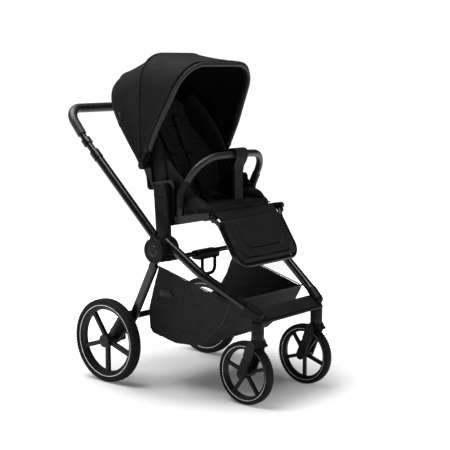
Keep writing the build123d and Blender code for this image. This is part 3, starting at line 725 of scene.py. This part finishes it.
def hood_fasteners():
    """A snap and a pivot cover on each side, and two pull tabs at each lower rear corner."""
    snap_spot = hood_point(0, FRONT_BOW, 0.058)
    for side, sign in SIDES:
        snap = (sign * FRONT_ARCH[0], *snap_spot.yz)
        cover = (sign * (FRONT_ARCH[0] - 0.0003), *HOOD_CENTRE.yz)
        round_cap(f"canopy_snap_{side}", [(0, 0.008), (0.0012, 0.0078), (0.002, 0.005)], snap, sign, "fork",
                  "canopy_front", "gloss_plastic", 32)
        round_cap(f"canopy_pivot_cover_{side}", [(0, 0.0135), (0.0016, 0.013), (0.0022, 0.009)], cover, sign,
                  "plastic", "canopy_front", "matte_plastic", 40)
    for side, sign in SIDES:
        for k, angle in enumerate((56.0, 50.0)):
            high = hood_point(sign * REAR_ARCH[0], angle, 0.215 - 0.02 * k)
            low = hood_point(sign * (REAR_ARCH[0] + 0.002), angle - 1, 0.19 - 0.02 * k)
            sweep(f"canopy_zip_pull_{side}_{k}", [high, high.lerp(low, 0.5), low],
                  lambda t: oval(0.0035, 0.0009, sides=10, power=0.6), "webbing", "backrest", "webbing",
                  up=(sign, 0, 0))


# -------------------- seat and backrest
SEAT_TOP = 0.64          # about where the seat cushion's upper face lies
BACK_OUT = Vector((0, -sin(radians(BACK_ANGLE)), cos(radians(BACK_ANGLE))))
PAD_VOXEL = 0.005


def seat_cushion():
    """Seat cushion with crossed channels, stitched sides and a piped front edge."""
    cushion = soft_copy("seat_cushion", "seat_pad", "seat", "seat")
    puff(cushion, PAD_VOXEL, cap=0.006)
    up = (0, 0, 1)
    cross_seams, side_seams, stitched_sides = (-0.06, -0.118), (-0.085, 0.085), (-0.14, 0.14)
    across = [crosswise(0.142, y, SEAT_TOP, 25) for y in cross_seams]
    along = [[Vector((x, -0.16 + 0.17 * t / 30, SEAT_TOP)) for t in range(31)] for x in side_seams]
    channels(cushion, up, across + along, depth=0.0035, width=0.003)
    for k, x in enumerate(stitched_sides):
        run = [Vector((x, -0.155 + 0.005 * t, SEAT_TOP)) for t in range(30)]
        stitches(f"seat_stitch_{k}", line_on(cushion, run, up), "seat")
    edge = crosswise(0.155, -0.176, SEAT_TOP - 0.001, 40)
    tube("seat_front_piping", edge, 0.0028, "seat", "seat", "seat_fabric", sides=8)


def back_cushion():
    """Backrest cushion with channels across, up both sides and round the head, wings and side lacing."""
    cushion = soft_copy("back_cushion", "backrest_pad", "seat", "backrest")
    puff(cushion, PAD_VOXEL, cap=0.007)
    cross_seams, side_seams, stitched_sides = (0.105, 0.185, 0.262), (-0.108, 0.108), (-0.115, 0.115)
    head_foot, head_half, head_height = 0.268, 0.105, 0.095
    rows = []
    for u in cross_seams:
        rows.append([back_point(x / 20 * (0.13 - 0.03 * u), u) for x in range(-20, 21)])
    sides = [[back_point(x, 0.03 + 0.0075 * t) for t in range(32)] for x in side_seams]
    head = []
    for t in range(31):
        head.append(back_point(head_half * cos(pi * t / 30), head_foot + head_height * sin(pi * t / 30)))
    channels(cushion, BACK_OUT, rows + sides + [head], depth=0.004, width=0.003)
    for k, x in enumerate(stitched_sides):
        run = line_on(cushion, [back_point(x, 0.04 + 0.007 * t) for t in range(32)], BACK_OUT)
        stitches(f"back_stitch_{k}", run, "backrest")
    for side, sign in SIDES:
        back_wing(side, sign)
        side_lacing(side, sign)
    stitches("head_stitch", line_on(cushion, head, BACK_OUT, lift=0.0006), "backrest")


def padded_roll(name, line, section):
    """A slim padded piece that follows a line up the backrest."""
    roll = sweep(name, line, section, "seat", "backrest", "seat_fabric", up=BACK_OUT)
    subdivide(roll)


def back_wing(side, sign):
    """A padded wing down one side of the backrest, fullest at its middle, that spreads towards the seat."""
    top, length, widening = 0.365, 0.33, 0.037
    foot = top - length
    last = 29
    line = []
    for i in range(last + 1):
        u = top - length * i / last
        reach = 0.016 + 0.022 * sin(pi * min(1.0, 0.12 + i / last * 0.7))
        line.append(back_point(sign * (0.134 + widening * (1 - ((u - foot) / length) ** 2)), u, -reach))

    def section(t):
        """The wing's section, smallest at its ends."""
        thick, deep = 0.0085 + 0.002 * sin(pi * t), 0.02 + 0.024 * sin(pi * min(1.0, 0.1 + 0.75 * t))
        return oval(thick, deep, sides=24, power=0.8)

    padded_roll(f"back_wing_{side}", line, section)


def side_lacing(side, sign):
    """A ladder of pale laces on the plate beside the backrest."""
    half = Vector((0, 0.004, 0.0022))
    for t in range(9):
        spot = back_point(sign * 0.1888, 0.03 + 0.0085 * t, -0.002)
        tube(f"side_lace_{side}_{t}", [spot, spot + half, spot + half * 2], 0.0011, "pale_thread", "backrest",
             "webbing", sides=8, up=(sign, 0, 0))


# -------------------- harness
BUCKLE_X, BUCKLE_Y, BUCKLE_Z = 0.027, -0.008, 0.672      # where the straps enter the buckle
STRAP_STEPS = 15         # steps down each shoulder strap


def strap_section(t):
    """Webbing, the same all along: 25 mm wide and 2.2 mm thick, as a flat oval."""
    return oval(0.0125, 0.0011, sides=12, power=0.5)


def harness():
    """Two shoulder straps with padded covers, joined to the buckle by webbing."""
    for side, sign in SIDES:
        shoulder_strap(side, sign)
        buckle = Vector((sign * BUCKLE_X, BUCKLE_Y, BUCKLE_Z))
        lower_strap(side, sign, buckle)
        waist_strap(side, sign, buckle)


def shoulder_strap(side, sign):
    """Strap from the shoulder slot down, with its stitched cover and its slider."""
    cover = []
    for i in range(STRAP_STEPS + 1):
        t = i / STRAP_STEPS
        cover.append(back_point(sign * (0.05 - 0.006 * t), 0.292 - 0.137 * t, -0.013))
    padded_roll(f"strap_pad_{side}", cover, lambda t: oval(0.021, 0.0062, sides=20, power=0.6))
    for edge in (-0.0165, 0.0165):
        run = [p + Vector((edge, 0, 0)) + BACK_OUT * 0.0058 for p in cover]
        stitches(f"strap_stitch_{side}_{'in' if edge * sign < 0 else 'out'}", run, "backrest")
    line = []
    for i in range(STRAP_STEPS + 1):
        t = i / STRAP_STEPS
        line.append(back_point(sign * (0.05 - 0.011 * t), 0.3 - 0.235 * t, -0.0105 - 0.004 * sin(pi * t)))
    strap = sweep(f"shoulder_strap_{side}", line, strap_section, "webbing", "backrest", "webbing",
                  up=BACK_OUT)
    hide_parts("harness_straps")
    ends = [back_point(sign * 0.0425, 0.148, -0.0135), back_point(sign * 0.0415, 0.128, -0.0135)]
    slider = sweep(f"strap_slider_{side}", ends, lambda t: oval(0.017, 0.003, sides=12, power=0.5), "plastic",
                   "backrest", "matte_plastic", up=BACK_OUT)
    slider.modifiers.new("edge", "BEVEL").width = 0.001
    settle(slider)


def lower_strap(side, sign, buckle):
    """Webbing that hangs from the backrest to the buckle."""
    start = back_point(sign * 0.039, 0.068, -0.0115)
    run = [start.lerp(buckle, t / 10) + Vector((0, 0, -0.012 * sin(pi * t / 10))) for t in range(11)]
    strap = sweep(f"lower_strap_{side}", run, strap_section, "webbing", None, None, up=(0, -0.6, 0.8))
    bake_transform(strap)


def waist_strap(side, sign, buckle):
    """Webbing from the seat's side to the buckle, arched a little."""
    hip, end = Vector((sign * 0.138, 0.012, 0.648)), buckle + Vector((0, 0.004, -0.004))
    run = [hip.lerp(end, t / 12) + Vector((0, 0, 0.006 * sin(pi * t / 12))) for t in range(13)]
    strap = sweep(f"waist_strap_{side}", run, strap_section, "webbing", "seat", "webbing", up=(0, -0.3, 0.95))


# -------------------- cloth that crosses a joint
GUSSET_STEPS = 8         # steps of each gusset from one edge to the other


def strip_rows(start, end, half, sag_y, sag_z):
    """Rows from side to side between two edges, sagging halfway."""
    rows = []
    for t in range(GUSSET_STEPS + 1):
        swell = sin(pi * t / GUSSET_STEPS)
        p = start.lerp(end, t / GUSSET_STEPS) + Vector((0, sag_y * swell, sag_z * swell))
        rows.append(crosswise(half, p.y, p.z, 24))
    return rows


def seat_back_gusset():
    """Cloth across the gap between the seat and the backrest."""
    low, high = Vector((0, 0.012, 0.622)), back_point(0, 0.03, 0.012)
    made = cloth_sheet("seat_back_gusset", strip_rows(low, high, 0.176, 0.012, -0.006), "seat", None)
    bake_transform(made)


def side_gussets():
    """Cloth between the seat's side and the backrest's side, bulging a little."""
    last = 16
    for side, sign in SIDES:
        rows = []
        for k in range(GUSSET_STEPS + 1):
            up = k / GUSSET_STEPS
            row = []
            for i in range(last + 1):
                back = i / last
                low_edge = Vector((sign * 0.161, -0.115 + 0.18 * back, 0.676 - 0.066 * back))
                high_edge = back_point(sign * 0.163, 0.26 - 0.25 * back, 0.018 - 0.049 * (1 - back))
                bulge = 0.006 * sin(pi * up) * sin(pi * back)
                row.append(low_edge.lerp(high_edge, up) + Vector((sign * bulge, 0, 0)))
            rows.append(row)
        made = cloth_sheet(f"side_gusset_{side}", rows, "seat", None, 0.003, 0)
        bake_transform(made)


def seat_leg_gusset():
    """Cloth across the gap between the seat and the leg rest."""
    high, low = Vector((0, -0.17, 0.634)), legrest_point(0, 0.03, 0.004)
    made = cloth_sheet("seat_leg_gusset", strip_rows(high, low, 0.158, -0.004, 0.004), "seat", None)
    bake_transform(made)


# -------------------- leg rest
def leg_rest():
    """Leg rest cushion with two channels round it, drawn out to meet its tube."""
    cushion = soft_copy("leg_cushion", "legrest_pad", "seat", "legrest")
    puff(cushion, voxel=0.0045, cap=0.006)
    hinge, along = legrest_point(0, 0), legrest_point(0, LEGREST_LEN) - legrest_point(0, 0)
    for vertex in cushion.data.vertices:
        share = (vertex.co - hinge).dot(along) / along.length_squared
        wider = Vector((0.02 * vertex.co.x * share, 0, 0))
        vertex.co += along * (0.035 * max(0.0, share - 0.3)) + wider
    dy, dz = direction(180 + LEGREST_ANGLE)
    out = Vector((0, dz, -dy))
    lines = []
    for inset in (0.03, 0.062):
        half, end, start = 0.163 - inset, LEGREST_LEN - inset - 0.004, 0.022
        flat = rounded([(half, start, 0), (half, end, 0), (-half, end, 0), (-half, start, 0)], [0.03, 0.03])
        lines.append([legrest_point(p.x, p.y) for p in spread(flat, 140)])
    channels(cushion, out, lines, depth=0.0085, width=0.004)
    channels(cushion, -out, lines, depth=0.003, width=0.0028)
    for k, line in enumerate(lines):
        stitches(f"leg_stitch_{k}", line_on(cushion, line, out), "legrest")


# -------------------- bumper bar
def bumper_line():
    """The bar's centre line, up from one end, across the front and down to the other."""
    half = [(BUMPER_X, BUMPER_Y, 0.642), (BUMPER_X, BUMPER_Y - 0.004, 0.69), (0.173, -0.137, 0.812)]
    points = mirrored(half)
    points.insert(len(half), Vector((0, *BUMPER_MID)))
    return spread(rounded(points, [0.06, 0.1, 0.52, 0.1, 0.06], 12), 160)


def bumper():
    """Stitched seam under the bar, moulded elbows at its ends, and the cloth strap round its middle."""
    line = bumper_line()
    seam = [p - Vector((0, 0, BUMPER_R + 0.0004)) for p in line[24:-24]]
    stitches("bumper_seam_stitch", seam, "bumper", HEAVY_STITCH)
    elbow_radius = BUMPER_R + 0.002
    for side, sign in SIDES:
        run = [p for p in line if p.x * sign > 0.15 and p.z < 0.735]
        run.sort(key=lambda p: p.z)
        tube(f"bumper_elbow_{side}", run, elbow_radius, "plastic", "bumper", "matte_plastic", sides=20,
             up=(1, 0, 0))
    bumper_strap()


def bumper_strap():
    """Cloth strap from the seat up over the bar and back, wider where it wraps the bar."""
    y, z = BUMPER_MID
    front, back = y - 0.0165, y + 0.0245
    shoulder, crown, neck = z - 0.014, z + 0.019, z - 0.042
    profile = rounded([(0, y - 0.001, 0.662), (0, y - 0.001, neck), (0, front, shoulder), (0, front, crown),
                       (0, back, crown), (0, back, shoulder), (0, y + 0.009, neck), (0, y + 0.006, 0.664)],
                      [0.03, 0.02, 0.014, 0.014, 0.02, 0.03], 6)
    rows = []
    for p in spread(profile, 60):
        wide = clamped((p.z - 0.745) / 0.05)
        rows.append(crosswise(0.022 + 0.009 * wide * wide * (3 - 2 * wide), p.y, p.z, 14))
    strap = cloth_sheet("bumper_strap_cloth", rows, "seat", "bumper", 0.002, 0)
    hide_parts("bumper_strap")


# -------------------- wheels
SLOT_DEPTH = 0.0024
RIM_BAND, RIM_BAND_WIDTH = 0.846, 0.017      # reflector's inner edge as a share of the radius, and its width


def tyre_outline(r, half, inner):
    """Closed (x, radius) outline of a tyre, with a thin groove round the middle of its tread."""
    rising = [(0.55, inner), (0.9, inner + 0.003), (1, r - 0.013), (0.93, r - 0.006), (0.72, r - 0.0016),
              (0.45, r - 0.0004), (0.2, r - 0.0002)]
    groove = [(0.0012, r - 0.0002), (0.0006, r - 0.0022)]
    left = [(-half * share, radius) for share, radius in rising] + [(-x, radius) for x, radius in groove]
    return left + [(-x, radius) for x, radius in reversed(left)]


def wheel_tyre(name, wheel, sign, body, node):
    r, x, y, width, inner, blocks = wheel

    def slot(i, k):
        """Slots across the tread, half a step apart on the two sides of its middle groove."""
        shift = 0 if k < 8 else 2
        cut = 3 <= k <= 14 and k not in (8, 9) and (i + shift) % 4 == 0
        return -SLOT_DEPTH if cut else 0.0

    outline = tyre_outline(r, width / 2, inner * r)
    made = lathe(name, outline, sign * x, y, r, "tyre", body, "tyre", blocks * 4, slot)
    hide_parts(node)


def ring(name, x0, x1, r0, r1, x, y, z, paint, body, slot, count=96):
    return lathe(name, [(x0, r0), (x1, r0), (x1, r1), (x0, r1)], x, y, z, paint, body, slot, count)


def wheels():
    """Tyres with a slotted tread, and a pale reflector band on both faces of each rim."""
    for side, sign in SIDES:
        for end, wheel in (("rear", REAR_WHEEL), ("front", FRONT_WHEEL)):
            wheel_tyre(f"{end}_tread_{side}", wheel, sign, f"{end}_wheel_{side}", f"{end}_tyre_{side}")
        for end, (r, x, y, width, *_) in (("rear", REAR_WHEEL), ("front", FRONT_WHEEL)):
            for face in (1, -1):
                edge = face * width * 0.36
                ring(f"{end}_reflector_{side}_{'out' if face == sign else 'in'}", edge, edge + face * 0.0009,
                     r * RIM_BAND, r * (RIM_BAND + RIM_BAND_WIDTH), sign * x, y, r, "reflector",
                     f"{end}_wheel_{side}", "rim_plastic", 120)


# -------------------- frame details
def frame_details():
    """A blank disc in a thin ring on each hub, and a raised line round each seat adapter's cap."""
    badge_radius, line_radius = 0.0165, 0.0235
    for side, sign in SIDES:
        hub = (sign * HUB_FACE_X, HUB_Y, HUB_Z)
        ring(f"hub_badge_ring_{side}", 0, 0.0009 * sign, badge_radius, 0.018, *hub, "badge", "chassis",
             "gloss_frame")
        disc = [(0, AXIS_RADIUS), (0, badge_radius), (0.0006 * sign, 0.0162), (0.0012 * sign, AXIS_RADIUS)]
        lathe(f"hub_badge_{side}", disc, *hub, "fork", "chassis", "gloss_plastic", 64)
        arc = []
        for t in range(3, 22):
            dy, dz = line_radius * cos(t * pi / 24), line_radius * sin(t * pi / 24)
            arc.append(Vector((sign * 0.2206, SEAT_CAP[0] + dy, SEAT_CAP[1] + dz)))
        tube(f"adapter_line_{side}", arc, 0.0009, "fork", "seat", "gloss_plastic", sides=8)


def grip_details():
    """Stitched seam along the top of the handle grip, and ribs across the footrest's strip."""
    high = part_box("handle_grip")[1]
    seam = crosswise(0.17, high[1] - 0.0165, high[2] + 0.0002, 60)
    stitches("grip_seam_stitch", seam, "handle", HEAVY_STITCH)
    low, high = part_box("footrest_grip")
    slope = 0.92 * tan(radians(27.6))
    for k in range(-11, 12):
        line = []
        for t in (0.2, 0.5, 0.8):
            y = low[1] + (high[1] - low[1]) * t
            line.append((k * 0.012, y, high[2] + 0.0004 - (high[1] - y) * slope))
        sweep(f"footrest_rib_{k + 11:02d}", line, lambda t: oval(0.0022, 0.0016, 8), "rubber", "chassis",
              "grip_rubber")


# -------------------- basket
BASKET_TOP_Z = 0.432
BASKET_FREE_Z = 0.42     # below this height the cloth hangs free of its frame
BASKET_FRONT = (-0.291, 0.345)
BASKET_EDGE = [(0.031, BASKET_TOP_Z), BASKET_FRONT, (-0.277, 0.32), (-0.251, 0.269), (-0.15, 0.177),
               (-0.028, 0.165), (0.078, 0.186), (0.09, 0.204), (0.088, 0.267)]


def slack(z):
    """0 where the basket's frame holds its cloth, rising to 1 an eighth of a metre below."""
    return clamped((BASKET_FREE_Z - z) * 8)


def basket_half(y, z):
    """Half the basket's width: it narrows towards the floor and towards the front."""
    by_height = 0.165 + 0.051 * (z - 0.1) / 0.42
    by_length = 0.187 + 0.031 * (y + 0.38) / 0.53
    return min(by_height, by_length) + 0.007 * slack(z)


def basket_trims():
    """Piping round both sides, a band along the front lip, and a blank patch on each side."""
    trims = []
    for side, sign in SIDES:
        flat = rounded([(y, z, 0) for y, z in BASKET_EDGE], [0.012, 0.02, 0.05, 0.06, 0.06, 0.02, 0.015], 6)
        line = [Vector((sign * (basket_half(p.x, p.y) - 0.001), p.x, p.y)) for p in spread(flat, 150)]
        trims.append(tube(f"basket_piping_{side}", line, 0.0022, "binding", "chassis", "basket_fabric",
                          sides=8))
        patch = []
        for z in (0.352, 0.338, 0.325):
            patch.append([Vector((sign * (basket_half(y, z) + 0.0016), y, z)) for y in (0.028, 0.0, -0.028)])
        trims.append(cloth_sheet(f"basket_patch_{side}", patch, "binding", "chassis",
                                 0.001, 0, subdivided=False))
    y, z = BASKET_FRONT
    lip = crosswise(basket_half(y + 0.001, z), y + 0.0005, z, 30)
    trims.append(tube("basket_lip", lip, 0.0034, "binding", "chassis", "basket_fabric", sides=10))
    for trim in trims:
        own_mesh(trim)
    return trims


def basket():
    """The basket's cloth, remeshed and rippled where it hangs free, with its trims."""
    made = soft_copy("basket_cloth", "basket", "basket", "chassis")
    remesh = made.modifiers.new("even", "REMESH")
    remesh.mode, remesh.voxel_size = "VOXEL", 0.003
    settle(made)
    made.modifiers.new("relax", "SMOOTH").iterations = 8
    settle(made)
    for vertex in made.data.vertices:
        ripple = noise(vertex.co * 14) * 0.003 + noise(vertex.co * 5) * 0.004
        outward = min(1.0, max(-1.0, vertex.co.x / 0.12))
        backward = 0.008 if vertex.co.y > 0.04 else 0
        moved = Vector((outward * (ripple + 0.007), backward, -0.4 * ripple - 0.004))
        vertex.co += moved * slack(vertex.co.z)
    made.data.update()
    made.data.shade_smooth()
    trims = basket_trims()
    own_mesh(made)


mix_paints()
paint_nodes()
camera()
studio_light()
floor()
front_panel()
mid_panel()
rear_panel()
hood_fasteners()
seat_cushion()
back_cushion()
harness()
leg_rest()
seat_back_gusset()
side_gussets()
seat_leg_gusset()
bumper()
wheels()
frame_details()
grip_details()
basket()
